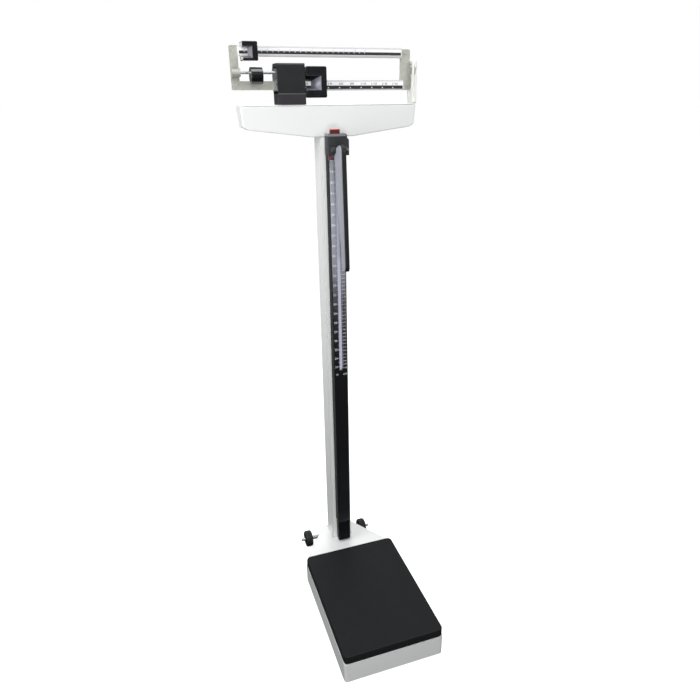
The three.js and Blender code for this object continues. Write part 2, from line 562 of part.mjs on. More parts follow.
// The stirrup under the beam, the transfer lever in the shelf box, and the rod down to the base.
function buildTransmission() {
  const linkLow = TRANSFER.low - 6;
  const link = (half) => [LOAD_KNIFE_X - half, LOAD_KNIFE_X + half];
  const linkOuter = block(...link(7), BEAM_Y - 13, BEAM_Y + 12, linkLow, FULCRUM.z + 10);
  const linkInner = block(...link(8), BEAM_Y - 9, BEAM_Y + 9, linkLow + 4, FULCRUM.z + 11);
  const knifeHole = block(...link(4), 0, COLUMN.size, FULCRUM.z - 5, FULCRUM.z + 5);
  add("beam_stirrup", cut(linkOuter, linkInner, knifeHole), "steel");

  const { pivotX, tipX, low, high, front, back } = TRANSFER;
  const middle = (low + high) / 2;
  add("transfer_lever", cut(block(tipX, pivotX + 8, front, back, low, high),
    rodY(3.3, front - 1, back + 1, pivotX, middle, 16)), "castIron");
  const forkLow = BOX.bottom + 20;
  const fork = cut(block(pivotX - 8, pivotX + 8, front - 5, back + 5, forkLow, middle + 6),
    block(pivotX - 9, pivotX + 12, front - 1, back + 1, low - 4, high + 4));
  add("transfer_stand", cut(fork, rodY(3.3, front - 6, back + 6, pivotX, middle, 16)), "steel");
  add("transfer_pin", rodY(3, front - 6, back + 6, pivotX, middle, 16), "steel");

  // A hook ring at each end of a straight rod.
  const ringTop = high + 5;
  const ringLow = low - 6;
  const upperRing = cut(block(-4, 4, DRAFT_Y - 10, DRAFT_Y + 10, ringLow, ringTop),
    block(-5, 5, DRAFT_Y - 6, DRAFT_Y + 6, ringLow + 4, ringTop - 4));
  const lowerRing = cut(block(-13, 13, DRAFT_Y - 3, DRAFT_Y + 3, LEVER.low - 6, LEVER.high + 6),
    block(-9, 9, DRAFT_Y - 4, DRAFT_Y + 4, LEVER.low - 2, LEVER.high + 2));
  const shank = rodZ(DRAFT_R, LEVER.high + 5, ringLow + 1, 0, DRAFT_Y, 12);
  add("draft_rod", join(shank, upperRing, lowerRing), "steel");
}

function buildWheels() {
  const { r, width, x, y, z, bore } = WHEEL;
  const half = width / 2;
  const hubR = 9;
  const rimR = r - 7;
  const dish = half - 3;
  const wheelProfile = [[bore, -half], [hubR, -half], [hubR, -dish], [rimR, -dish], [rimR, -half],
    [r - 2, -half], [r, -half + 2], [r, half - 2], [r - 2, half], [rimR, half], [rimR, dish],
    [hubR, dish], [hubR, half], [bore, half], [bore, -half]];
  const { r: axleR, tipR, shoulder, half: tip } = AXLE;
  const capBore = tipR + 0.2;
  const capProfile = [[capBore, 0], [7, 0], [7, 2], [5.5, 4.5], [capBore, 4.5], [capBore, 0]];
  const neckBack = NECK.back + GAP;
  const bracketOutline = polygon([[neckBack, z - 9], [y, z - 10], [y + 9, z - 5], [y + 9, z + 5],
    [y, z + 10], [neckBack, z + 20]]);
  for (const [side, sign] of mirrored) {
    add(`wheel_${side}`, turnedX(wheelProfile, 36).translate(sign * x, y, z), "blackPlastic");
    const cap = turnedX(capProfile, 20);
    if (sign < 0) cap.rotateY(Math.PI);
    add(`axle_cap_${side}`, cap.translate(sign * (x + half + GAP), y, z), "steel");
    const bracketX = sign * 38;
    add(`axle_bracket_${side}`, cut(prismX(bracketOutline, bracketX - 3, bracketX + 3),
      rodX(axleR + 0.2, bracketX - 4, bracketX + 4, y, z, 24)), "steel");
  }
  const axleProfile = [[0, -tip], [tipR - 1, -tip], [tipR, -tip + 1], [tipR, -shoulder],
    [axleR, -shoulder], [axleR, shoulder], [tipR, shoulder], [tipR, tip - 1], [tipR - 1, tip], [0, tip]];
  add("axle", turnedX(axleProfile, 20).translate(0, y, z), "steel");
}

buildBase();
buildPlatform();
buildLevers();
buildColumn();
buildHeightRod();
buildSlider();
buildHeadpiece();
buildShelfBox();
buildHousing();
buildBeam();
buildPoises();
buildTrigLoop();
buildTransmission();
buildWheels();

// The origin lies on the floor in the middle of the footprint.
scale.position.y = -(BASE.front + WHEEL.y + WHEEL.r) / 2;

export default scale;
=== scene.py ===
import json
import math

import bmesh
import bpy
from mathutils import Matrix, Vector


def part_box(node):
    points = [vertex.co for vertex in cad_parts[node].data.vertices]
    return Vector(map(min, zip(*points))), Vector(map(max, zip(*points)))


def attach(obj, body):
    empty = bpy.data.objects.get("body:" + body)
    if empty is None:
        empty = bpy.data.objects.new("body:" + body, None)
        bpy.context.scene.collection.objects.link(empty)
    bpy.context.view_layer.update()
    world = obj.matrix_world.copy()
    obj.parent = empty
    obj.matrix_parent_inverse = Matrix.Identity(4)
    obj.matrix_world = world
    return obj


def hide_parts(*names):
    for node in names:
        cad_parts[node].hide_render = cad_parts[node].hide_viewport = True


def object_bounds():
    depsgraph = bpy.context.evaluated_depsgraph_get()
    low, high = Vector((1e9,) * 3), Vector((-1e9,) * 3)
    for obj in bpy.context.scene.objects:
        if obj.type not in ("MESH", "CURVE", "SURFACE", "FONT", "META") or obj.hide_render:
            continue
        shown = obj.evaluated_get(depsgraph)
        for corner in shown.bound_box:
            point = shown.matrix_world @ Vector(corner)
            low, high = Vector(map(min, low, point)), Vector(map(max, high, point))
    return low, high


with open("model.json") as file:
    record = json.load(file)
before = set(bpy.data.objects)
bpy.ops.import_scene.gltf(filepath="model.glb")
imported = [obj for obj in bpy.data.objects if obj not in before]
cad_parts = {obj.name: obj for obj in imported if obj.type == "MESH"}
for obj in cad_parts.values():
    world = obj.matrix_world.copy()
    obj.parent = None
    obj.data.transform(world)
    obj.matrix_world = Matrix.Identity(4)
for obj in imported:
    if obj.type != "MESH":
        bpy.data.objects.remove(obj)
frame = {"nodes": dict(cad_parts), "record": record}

CAD_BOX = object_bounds()
MM = 0.001
INCH = 25.4 * MM
CM = 10 * MM
BODIES = frame["record"]["behaviour"]["bodies"]
BODY_OF = {node: body for body, nodes in BODIES.items() for node in nodes}
SLOT_OF = {part["node"]: part["material_slot"] for part in frame["record"]["subparts"]}

# Where the camera stands, left of the scale and above eye level, and how it looks down at it.
CAMERA_PLACE = (-0.4346, -1.2834, 1.3505)
CAMERA_YAW, CAMERA_PITCH, CAMERA_ROLL = 0.335, 0.414, -0.006
CAMERA_LENS = 31.146
CAMERA_SHIFT = (-0.0179, 0.0102)

# Soft boxes: name, place, target, width and height, and how bright the face looks.
LIGHTS = [
    ("side", (-1.3, -0.08, 1.4), (0, 0.2, 1.2), (0.9, 1.1), 6.2),
    ("front", (-0.45, -1.3, 2.25), (0, 0.15, 1.2), (0.8, 0.8), 4.5),
    ("right", (1.35, -1.7, 1.9), (0, 0.15, 1.2), (0.8, 0.8), 6.0),
    ("low", (-0.42, -2.0, 0.64), (0, 0.14, 0.9), (0.8, 0.7), 7.0),
    ("rear", (0.5, 2.2, 1.6), (0, 0.2, 1.0), (1.2, 1.2), 3.0),
    ("overhead", (0.05, -0.25, 2.75), (0, -0.05, 0), (1.0, 1.0), 3.4),
]

# Sizes of details that no CAD node gives.
PRINT_DEPTH = 0.08 * MM
SLIDER_HIGHLIGHT_BAND = 5.5 * MM  # height of the painted highlight, a paler band along the slider's top
SLIDER_BLOCK = 44.2 * MM  # width of the slider without the wing at its right
BUTTON_DROP = 3 * MM  # how far the release button's top comes down
HOUSING_CREASE = 22.2 * MM  # height of the crease above the housing's foot
UPPER_BAND = (5.3 * MM, 11.6 * MM)  # heights of the black bands above the bars' low edges
LOWER_BAND = (3.2 * MM, 10.5 * MM)
UPPER_STEP = 12.6 * MM / 5  # from one mark on a bar to the next
LOWER_STEP = 26.7 * MM
SPOKES = 6


# ---------------------------------------------------------------- materials
def surface(name, color, roughness, metallic=0.0, coat=0.0, mottle=0.05, mottle_size=0.06,
            uneven=0.08, grain=0.1, grain_size=0.0012, stretch=(1, 1, 1), specular=0.5):
    """A Principled material whose colour, gloss and relief vary from place to place.

    mottle is how much the colour varies, over patches of mottle_size; uneven is the same for the
    roughness. grain is the height of the relief in tenths of a millimetre, and stretch draws it
    out into brush or rolling marks."""
    material = bpy.data.materials.new(name)
    material.use_nodes = True
    nodes = material.node_tree.nodes
    link = material.node_tree.links.new
    shader = nodes["Principled BSDF"]
    shader.inputs["Metallic"].default_value = metallic
    shader.inputs["Coat Weight"].default_value = coat
    shader.inputs["Coat Roughness"].default_value = 0.12
    shader.inputs["Specular IOR Level"].default_value = specular
    place = nodes.new("ShaderNodeTexCoord")

    patches = nodes.new("ShaderNodeTexNoise")
    patches.inputs["Scale"].default_value = 1 / mottle_size
    patches.inputs["Detail"].default_value = 4
    link(place.outputs["Object"], patches.inputs["Vector"])
    tint = nodes.new("ShaderNodeMix")
    tint.data_type = "RGBA"
    low = [c * (1 - mottle) for c in color]
    high = [min(1.0, c * (1 + mottle)) for c in color]
    tint.inputs["A"].default_value = (*low, 1)
    tint.inputs["B"].default_value = (*high, 1)
    link(patches.outputs["Fac"], tint.inputs["Factor"])
    link(tint.outputs["Result"], shader.inputs["Base Color"])

    marks = nodes.new("ShaderNodeMapping")
    marks.inputs["Scale"].default_value = stretch
    link(place.outputs["Object"], marks.inputs["Vector"])
    fine = nodes.new("ShaderNodeTexNoise")
    fine.inputs["Scale"].default_value = 1 / grain_size
    fine.inputs["Detail"].default_value = 3
    link(marks.outputs["Vector"], fine.inputs["Vector"])
    gloss = nodes.new("ShaderNodeMapRange")
    gloss.inputs["From Min"].default_value = 0.25
    gloss.inputs["From Max"].default_value = 0.75
    gloss.inputs["To Min"].default_value = max(0.03, roughness - uneven)
    gloss.inputs["To Max"].default_value = min(1.0, roughness + uneven)
    both = nodes.new("ShaderNodeMath")
    both.operation = "ADD"
    half = nodes.new("ShaderNodeMath")
    half.operation = "MULTIPLY"
    half.inputs[1].default_value = 0.5
    link(patches.outputs["Fac"], both.inputs[0])
    link(fine.outputs["Fac"], both.inputs[1])
    link(both.outputs["Value"], half.inputs[0])
    link(half.outputs["Value"], gloss.inputs["Value"])
    link(gloss.outputs["Result"], shader.inputs["Roughness"])

    relief = nodes.new("ShaderNodeBump")
    relief.inputs["Strength"].default_value = 0.6
    relief.inputs["Distance"].default_value = grain * 0.1 * MM
    link(fine.outputs["Fac"], relief.inputs["Height"])
    link(relief.outputs["Normal"], shader.inputs["Normal"])
    return material


def drawn(material):
    """Adds upright die lines, which spread reflections sideways and keep them sharp in height."""
    nodes = material.node_tree.nodes
    shader = nodes["Principled BSDF"]
    shader.inputs["Anisotropic"].default_value = 1.0
    around = nodes.new("ShaderNodeTangent")
    around.direction_type = "RADIAL"
    around.axis = "Z"
    material.node_tree.links.new(around.outputs["Tangent"], shader.inputs["Tangent"])
    return material


def srgb(red, green, blue):
    """A linear colour from display values of 0 to 255."""
    return tuple(c / 255 / 12.92 if c <= 10 else ((c / 255 + 0.055) / 1.055) ** 2.4
                 for c in (red, green, blue))


ENAMEL = surface("white_enamel", srgb(238, 240, 239), 0.34, coat=0.25, mottle=0.012, uneven=0.05,
                 grain=0.5, grain_size=0.004)
ENAMEL_FLAT = surface("white_enamel_flatter", srgb(243, 245, 244), 0.6, mottle=0.012, uneven=0.05,
                      grain=0.5, grain_size=0.004, specular=0.15)
# Darker copy of the enamel for the column's rounded front edges: painted shade.
ENAMEL_PAINTED_SHADE = surface("white_enamel_painted_shade", srgb(200, 202, 201), 0.6, mottle=0.012, uneven=0.05,
                      grain=0.5, grain_size=0.004, specular=0.15)
RUBBER = surface("black_rubber", srgb(20, 21, 23), 0.75, mottle=0.1, mottle_size=0.03, uneven=0.08,
                 grain=2.5, grain_size=0.0011, specular=0.3)
# Lighter rubber for the cover's rounded front top edge: a painted highlight.
RUBBER_PAINTED_HIGHLIGHT = surface("rubber_edge_painted_highlight", srgb(32, 33, 35), 0.7, mottle=0.1, mottle_size=0.03,
                      uneven=0.08, grain=2.0, grain_size=0.0011, specular=0.3)
PROFILE = surface("black_anodised", srgb(20, 21, 23), 0.3, mottle=0.06, uneven=0.05, grain=0.3,
                  grain_size=0.0008, stretch=(1, 1, 0.02), specular=0.03)
PLASTIC = surface("black_plastic", srgb(19, 20, 23), 0.36, mottle=0.07, mottle_size=0.02,
                  uneven=0.07, grain=0.9, grain_size=0.0007)
BLACK_PAINT = surface("black_paint", srgb(15, 16, 19), 0.26, coat=0.0, mottle=0.08,
                      mottle_size=0.02, uneven=0.07, grain=0.8, grain_size=0.0015)
GREY_PLASTIC = surface("grey_plastic", srgb(156, 159, 168), 0.3, mottle=0.08, uneven=0.06,
                       grain=0.4, grain_size=0.001)
RED_PLASTIC = surface("red_plastic", srgb(226, 84, 76), 0.4, mottle=0.06, mottle_size=0.01,
                      grain=0.4, grain_size=0.0008)
INDEX_RED = surface("faded_red_plastic", srgb(104, 58, 64), 0.45, mottle=0.1, mottle_size=0.004,
                    grain=0.6, grain_size=0.0008)
SLIDER_PLASTIC = surface("slider_plastic", srgb(42, 45, 48), 0.4, mottle=0.1, mottle_size=0.012,
                         uneven=0.07, grain=0.9, grain_size=0.0007)
# Paler grey for the band along the slider's top: a painted highlight.
SLIDER_PAINTED_HIGHLIGHT = surface("slider_painted_highlight", srgb(124, 127, 131), 0.4, mottle=0.1, mottle_size=0.012,
                      uneven=0.07, grain=0.9, grain_size=0.0007)
HOUSING_FOOT_FRONT_TONE = surface("housing_foot_front_tone", srgb(36, 31, 38), 0.4, mottle=0.08, mottle_size=0.02,
                       uneven=0.07, grain=0.9, grain_size=0.0007)
# Lighter grey for the upward chamfer at the housing's crease: a painted highlight.
PLASTIC_PAINTED_HIGHLIGHT = surface("black_plastic_painted_highlight", srgb(66, 68, 70), 0.4, mottle=0.2, mottle_size=0.01,
                    uneven=0.07, grain=0.9, grain_size=0.0007)
WHITE_PLASTIC = surface("white_plastic", srgb(244, 245, 241), 0.35, mottle=0.01, uneven=0.05,
                        grain=0.4, grain_size=0.002)
PLATE = surface("peened_plate", srgb(177, 178, 169), 0.42, metallic=0.3, mottle=0.24,
                mottle_size=0.004, uneven=0.08, grain=2.2, grain_size=0.0022)
# Darker copy of the button's red for its sides and front: painted shade.
RED_PAINTED_SHADE = surface("red_plastic_painted_shade", srgb(92, 22, 24), 0.35, mottle=0.12, mottle_size=0.006,
                   grain=0.6, grain_size=0.0008)
NICKEL = surface("satin_nickel", srgb(205, 203, 190), 0.33, metallic=0.9, mottle=0.05,
                 mottle_size=0.02, uneven=0.08, grain=0.5, grain_size=0.0009, stretch=(1, 1, 0.15))
BAR_NICKEL = surface("bar_nickel", srgb(250, 251, 253), 0.3, metallic=0.0, mottle=0.03,
                     mottle_size=0.02, uneven=0.06, grain=0.3, grain_size=0.0008,
                     stretch=(0.04, 1, 1))
BAR_EDGE = surface("bar_bevel", srgb(214, 211, 213), 0.36, metallic=0.1, mottle=0.05,
                   mottle_size=0.02, uneven=0.06, grain=0.3, grain_size=0.0008,
                   stretch=(0.04, 1, 1))
# Greys for the poises' window funnels: painted reflection on the facets, painted highlight on the
# sills.
POISE_FACET_PAINTED_REFLECTION = surface("window_facet_painted_reflection", srgb(132, 132, 144), 0.35, metallic=0.1, mottle=0.04,
                      mottle_size=0.01, uneven=0.06, grain=0.4, grain_size=0.001)
POISE_WINDOW_PAINTED_LIGHT = surface("window_sill_painted_light", srgb(104, 104, 112), 0.4, mottle=0.06, mottle_size=0.01,
                     uneven=0.06, grain=0.4, grain_size=0.001)
GLOSS_PAINT = surface("gloss_black_paint", srgb(16, 17, 20), 0.13, coat=0.6, mottle=0.08,
                      mottle_size=0.015, uneven=0.05, grain=0.4, grain_size=0.002, specular=0.8)
POLISHED_BLACK = drawn(surface("drawn_black_anodised", (0.29, 0.30, 0.34), 0.36, metallic=1.0,
                               mottle=0.05, uneven=0.03, grain=0.2, grain_size=0.0008,
                               stretch=(1, 1, 0.02)))
STEEL = surface("machined_steel", srgb(188, 190, 193), 0.28, metallic=0.95, mottle=0.06,
                mottle_size=0.012, uneven=0.08, grain=0.4, grain_size=0.0006)
ALLOY = surface("satin_alloy", srgb(226, 228, 248), 0.5, metallic=0.3, mottle=0.03, uneven=0.05,
                grain=0.3, grain_size=0.0007, stretch=(1, 1, 0.03))
CAST_IRON = surface("cast_iron", srgb(84, 86, 90), 0.6, metallic=0.6, mottle=0.16,
                    mottle_size=0.012, uneven=0.12, grain=3.0, grain_size=0.002)
TYRE = surface("wheel_rubber", srgb(30, 31, 32), 0.62, mottle=0.1, mottle_size=0.01, uneven=0.1,
               grain=1.4, grain_size=0.001)
WHITE_INK = surface("white_ink", srgb(236, 238, 244), 0.5, mottle=0.05, mottle_size=0.004,
                    grain=0.1)
BLACK_INK = surface("black_ink", srgb(26, 27, 30), 0.42, mottle=0.08, mottle_size=0.004, grain=0.1)
FLOOR = surface("studio_floor", (0.95, 0.95, 0.95), 0.9, mottle=0.004, mottle_size=0.8, grain=0.1,
                grain_size=0.01, specular=0.0)
FLOOR.node_tree.nodes["Principled BSDF"].inputs["Emission Color"].default_value = (1, 1, 1, 1)
FLOOR.node_tree.nodes["Principled BSDF"].inputs["Emission Strength"].default_value = 0.75

FINISH = {
    "enamel": ENAMEL, "rubber": RUBBER, "black_plastic": PLASTIC, "black_paint": BLACK_PAINT,
    "grey_plastic": GREY_PLASTIC, "red_plastic": RED_PLASTIC, "nickel_plate": NICKEL,
    "scale_bar": BAR_NICKEL, "alloy": ALLOY, "steel": STEEL, "cast_iron": CAST_IRON,
}


# ---------------------------------------------------------------- mesh helpers
def mesh_of(node, split=False):
    """A clean copy of a CAD node's mesh: welded, with each flat face in one piece.

    split cuts the faces of more than four corners into triangles. It is for nodes whose flat
    faces have holes: a face that runs round a hole folds over when its edges are rounded."""
    bm = bmesh.new()
    bm.from_mesh(frame["nodes"][node].data)
    bmesh.ops.remove_doubles(bm, verts=bm.verts, dist=1e-6)
    bmesh.ops.dissolve_limit(bm, angle_limit=math.radians(0.5), verts=bm.verts, edges=bm.edges)
    if split:
        bmesh.ops.triangulate(bm, faces=[face for face in bm.faces if len(face.verts) > 4])
    bm.normal_update()
    return bm


def round_edges(bm, width, segments=2, chosen=None, sharp=30, clamp=True):
    """Rounds the outward edges that turn by more than sharp degrees, or only the chosen ones."""
    bm.normal_update()
    edges = [e for e in bm.edges
             if len(e.link_faces) == 2 and e.calc_face_angle_signed(0) > math.radians(sharp)
             and (chosen is None or chosen(e))]
    bmesh.ops.bevel(bm, geom=edges, offset=width, segments=segments, profile=0.5,
                    affect="EDGES", clamp_overlap=clamp)
    bm.normal_update()


def solid(x, y, z):
    """A new box between the pairs x, y and z."""
    bm = bmesh.new()
    bmesh.ops.create_cube(bm, size=1)
    size = Vector((x[1] - x[0], y[1] - y[0], z[1] - z[0]))
    middle = Vector((sum(x), sum(y), sum(z))) / 2
    bm.transform(Matrix.Translation(middle) @ Matrix.Diagonal((*size, 1)))
    return bm


def merged(parts):
    """Several bmeshes as one; the parts are freed."""
    bm = bmesh.new()
    for part in parts:
        scratch = bpy.data.meshes.new("scratch")
        part.to_mesh(scratch)
        bm.from_mesh(scratch)
        part.free()
        bpy.data.meshes.remove(scratch)
    return bm


def turned(profile, origin, axis, sides=40):
    """(radius, height) points turned about the axis through origin, as a closed skin."""
    bm = bmesh.new()
    rings = []
    for r, h in profile:
        if r < 1e-7:
            rings.append([bm.verts.new((0, 0, h))])
        else:
            rings.append([bm.verts.new((r * math.cos(a), r * math.sin(a), h))
                          for a in (math.tau * i / sides for i in range(sides))])
    for lower, upper in zip(rings, rings[1:]):
        for i in range(sides):
            corners = [lower[i % len(lower)], lower[(i + 1) % len(lower)],
                       upper[(i + 1) % len(upper)], upper[i % len(upper)]]
            bm.faces.new(list(dict.fromkeys(corners)))
    turn = Vector((0, 0, 1)).rotation_difference(Vector(axis)).to_matrix().to_4x4()
    bm.transform(Matrix.Translation(Vector(origin)) @ turn)
    bmesh.ops.recalc_face_normals(bm, faces=bm.faces)
    return bm


def piece(name, parts, body, material, smooth=35):
    """One object from one or several bmeshes, riding on a body."""
    mesh = bpy.data.meshes.new(name)
    whole = merged(parts if isinstance(parts, list) else [parts])
    whole.to_mesh(mesh)
    whole.free()
    mesh.materials.append(material)
    mesh.polygons.foreach_set("use_smooth", [True] * len(mesh.polygons))
    mesh.set_sharp_from_angle(angle=math.radians(smooth))
    made = bpy.data.objects.new(name, mesh)
    bpy.context.scene.collection.objects.link(made)
    even = made.modifiers.new("even_normals", "WEIGHTED_NORMAL")
    even.keep_sharp = True
    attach(made, body)
    return made


def recolour(made, material, chosen):
    """Gives a second material to the faces that chosen(normal, centre) picks."""
    made.data.materials.append(material)
    index = len(made.data.materials) - 1
    for face in made.data.polygons:
        if chosen(face.normal, face.center):
            face.material_index = index


def dressed(node, width, material=None, segments=2, chosen=None, split=False, clamp=True):
    """A piece with the CAD node's shape and softened edges, in place of the node."""
    bm = mesh_of(node, split)
    round_edges(bm, width, segments, chosen, clamp=clamp)
    slot = SLOT_OF[node]
    made = piece(f"{node}_skin", bm, BODY_OF[node], material or FINISH[slot])
    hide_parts(node)
    return made


def screw(origin, axis, r, height):
    """A pan-head screw: the bmesh of its head, and those of the cross recess in it."""
    dome = [(0, height), (0.45 * r, 0.97 * height), (0.8 * r, 0.75 * height), (r, 0.3 * height),
            (r, -0.4 * MM), (0, -0.4 * MM)]
    head = turned(dome, origin, axis, 24)
    cross = []
    turn = Vector((0, 0, 1)).rotation_difference(Vector(axis)).to_matrix().to_4x4()
    for length, width in ((0.62 * r, 0.14 * r), (0.14 * r, 0.62 * r)):
        slot = solid((-length, length), (-width, width), (0.55 * height, height + 0.06 * MM))
        slot.transform(Matrix.Translation(Vector(origin)) @ turn)
        cross.append(slot)
    return head, cross


def fit_screw(name, body, origin, axis, r, height):
    """A screw head on a body, and its dark recess."""
    head, cross = screw(origin, axis, r, height)
    piece(name, head, body, STEEL)
    piece(f"{name}_recess", cross, body, BLACK_INK)


def lettering(labels, size, y):
    """Upright text in the XZ plane, facing the front: (text, x, z, align) for each label."""
    bm = bmesh.new()
    for text, x, z, align in labels:
        curve = bpy.data.curves.new("label", "FONT")
        curve.body = text
        curve.size = size
        curve.resolution_u = 2
        curve.align_x = align
        curve.align_y = "CENTER"
        curve.extrude = PRINT_DEPTH / 2
        holder = bpy.data.objects.new("label", curve)
        mesh = bpy.data.meshes.new_from_object(holder)
        mesh.transform(Matrix.Translation((x, y, z)) @ Matrix.Rotation(math.pi / 2, 4, "X"))
        bm.from_mesh(mesh)
        bpy.data.objects.remove(holder)
        bpy.data.curves.remove(curve)
        bpy.data.meshes.remove(mesh)
    return bm


def bars(rows):
    """Thin boxes, one for each ((x0, x1), (y0, y1), (z0, z1)) row."""
    return merged([solid(*row) for row in rows])


# ---------------------------------------------------------------- base and platform
def make_base():
    low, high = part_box("base_pan")
    pan = mesh_of("base_pan")

    def front_lip(edge):
        return all(v.co.y < low.y + 9 * MM and v.co.z > high.z - 1e-5 for v in edge.verts)

    def other_rims(edge):
        return (any(v.co.z > high.z - 1e-5 or v.co.z < low.z + 1e-5 for v in edge.verts)
                and all(v.co.y > low.y + 9.5 * MM for v in edge.verts))

    round_edges(pan, 2.6 * MM, 4, front_lip)
    round_edges(pan, 0.5 * MM, 2, other_rims)
    made = piece("base_pan_skin", pan, "root", ENAMEL)
    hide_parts("base_pan")
    dressed("neck_cover", 2.0 * MM, segments=3, split=True, clamp=False)
    dressed("platform_frame", 0.6 * MM, split=True, clamp=False)
    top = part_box("platform_cover")[1].z
    cover = mesh_of("platform_cover")
    round_edges(cover, 2.0 * MM, 3, lambda e: all(v.co.z > top - 1e-5 for v in e.verts))
    made = piece("platform_cover_skin", cover, "platform", RUBBER, smooth=50)
    # The rounded front top edge of the cover gets the lighter rubber, a painted highlight.
    recolour(made, RUBBER_PAINTED_HIGHLIGHT, lambda normal, centre: 0.3 < normal.z < 0.9 and normal.y < -0.2)
    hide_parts("platform_cover")
    for side in ("left", "right"):
        for end in ("front", "rear"):
            make_foot(f"foot_{end}_{side}")


def make_foot(node):
    low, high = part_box(node)
    middle = (low + high) / 2
    r = (high.x - low.x) / 2
    height = high.z - low.z
    groove = 0.6 * MM
    profile = [(0, groove), (0.3 * r, groove), (0.34 * r, 0), (0.5 * r, 0), (0.54 * r, groove),
               (0.7 * r, groove), (0.74 * r, 0), (0.92 * r, 0), (r, 0.9 * MM), (0.94 * r, height),
               (0, height)]
    pad = turned(profile, (middle.x, middle.y, low.z), (0, 0, 1))
    made = piece(f"{node}_skin", pad, "root", RUBBER)
    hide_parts(node)


# ---------------------------------------------------------------- column and height rod
def make_column():
    tube = dressed("column_tube", 0.8 * MM, split=True, clamp=False)
    # The front face gets a matte copy of the enamel to dull its sheen; the rounded edges beside it
    # get a darker copy, a painted shade.
    recolour(tube, ENAMEL_FLAT, lambda normal, centre: normal.y < -0.95)
    recolour(tube, ENAMEL_PAINTED_SHADE, lambda normal, centre: -0.95 < normal.y < -0.05)
    low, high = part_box("column_lower_screw")
    place = (low.x, (low.y + high.y) / 2, (low.z + high.z) / 2)
    fit_screw("column_lower_screw_head", "root", place, (1, 0, 0), (high.z - low.z) / 2,
              high.x - low.x)
    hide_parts("column_lower_screw")


def make_height_rod():
    profile = dressed("height_rod_profile", 0.8 * MM, PROFILE)
    recolour(profile, POLISHED_BLACK, lambda normal, centre: normal.y < -0.9)
    dressed("profile_end_cap", 0.8 * MM, PROFILE)
    low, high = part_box("slot_stop")
    middle = (low + high) / 2
    fit_screw("slot_stop_head", "root", (middle.x, low.y + 1.2 * MM, middle.z), (0, -1, 0),
              (high.x - low.x) / 2, 1.1 * MM)
    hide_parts("slot_stop")
    dressed("inner_rod", 0.5 * MM)
    make_height_scale()


def make_height_scale():
    """White inch marks left of the slot and centimetre marks right of it, from the platform up."""
    low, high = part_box("height_rod_profile")
    front = low.y
    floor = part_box("platform_cover")[1].z - 1.2 * MM
    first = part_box("slot_stop")[0].z + 8 * MM
    last = high.z - 3 * MM
    y = (front - 0.06 * MM, front + 0.05 * MM)
    ticks = []
    inches = []
    centimetres = []

    def counts(step):
        return range(math.ceil((first - floor) / step), int((last - floor) / step) + 1)

    for half_inches in counts(INCH / 2):
        z = floor + half_inches * INCH / 2
        whole = half_inches % 2 == 0
        length = 3.2 * MM if whole else 1.8 * MM
        ticks.append(((-4.7 * MM - length, -4.7 * MM), y, (z - 0.5 * MM, z + 0.5 * MM)))
        if whole:
            inches.append((str(half_inches // 2), -8.5 * MM, z, "RIGHT"))
    for cm in counts(CM):
        z = floor + cm * CM
        half = z + CM / 2
        ticks.append(((6.0 * MM, 10.0 * MM), y, (z - 0.65 * MM, z + 0.65 * MM)))
        ticks.append(((6.0 * MM, 7.9 * MM), y, (half - 0.3 * MM, half + 0.3 * MM)))
        centimetres.append((str(cm), 10.8 * MM, z, "LEFT"))
    piece("height_ticks", bars(ticks), "root", WHITE_INK)
    below = first - 18 * MM
    units = [("in", -11 * MM, below, "CENTER"), ("cm", 11 * MM, below, "CENTER")]
    for name, labels, size in (("height_inch_numbers", inches, 8.4 * MM),
                               ("height_cm_numbers", centimetres, 5.4 * MM),
                               ("height_units", units, 9.5 * MM)):
        piece(name, lettering(labels, size, front), "root", WHITE_INK)


def make_slider():
    """The slider, whose front and sides carry a painted highlight: a paler band along the top edge.
    """
    low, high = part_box("slider_body")
    highlight_floor = high.z - SLIDER_HIGHLIGHT_BAND
    body = mesh_of("slider_body", split=True)
    round_edges(body, 1.0 * MM, 3)
    everything = [*body.verts, *body.edges, *body.faces]
    bmesh.ops.bisect_plane(body, geom=everything, plane_co=(0, 0, highlight_floor), plane_no=(0, 0, 1),
                           dist=1e-6)
    made = piece("slider_body_skin", body, "slider", SLIDER_PLASTIC)
    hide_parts("slider_body")

    def on_lip(normal, centre):
        outward = normal.y < -0.05 or normal.x < -0.3
        return outward and centre.z > highlight_floor and centre.x < low.x + SLIDER_BLOCK

    # The top band of the front and left side gets the paler grey, a painted highlight.
    recolour(made, SLIDER_PAINTED_HIGHLIGHT, on_lip)


def make_headpiece():
    make_slider()
    # The button's sides and front are a darker copy of its red, a painted shade; its top faces keep
    # the plain red.
    button = dressed("release_button", 1.2 * MM, RED_PAINTED_SHADE, segments=3)
    middle = sum(v.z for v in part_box("release_button")) / 2
    for vertex in button.data.vertices:
        if vertex.co.z > middle:
            vertex.co.z -= BUTTON_DROP
    recolour(button, RED_PLASTIC, lambda normal, centre: normal.z > 0.25)
    dressed("index_mark", 0.6 * MM, INDEX_RED)
    dressed("headpiece_pin", 0.4 * MM)
    dressed("headpiece_arm", 0.8 * MM)
    dressed("headpiece_panel", 0.5 * MM)
    low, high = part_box("slider_body")
    place = (high.x - 3.2 * MM, low.y + 20 * MM, low.z + 12 * MM)
    fit_screw("slider_wing_screw", "slider", place, (0, -1, 0), 2.4 * MM, 1.2 * MM)


# ---------------------------------------------------------------- shelf box, housing and beam
def make_shelf():
    box_low, box_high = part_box("shelf_box")

    def outside(edge):
        return any(abs(v.co.y - y) < 1e-5 for v in edge.verts for y in (box_low.y, box_high.y))

    dressed("shelf_box", 2.0 * MM, segments=3, chosen=outside)
    dressed("shelf_top", 0.9 * MM)
    dressed("trig_loop", 1.2 * MM, WHITE_PLASTIC, segments=3, split=True, clamp=False)


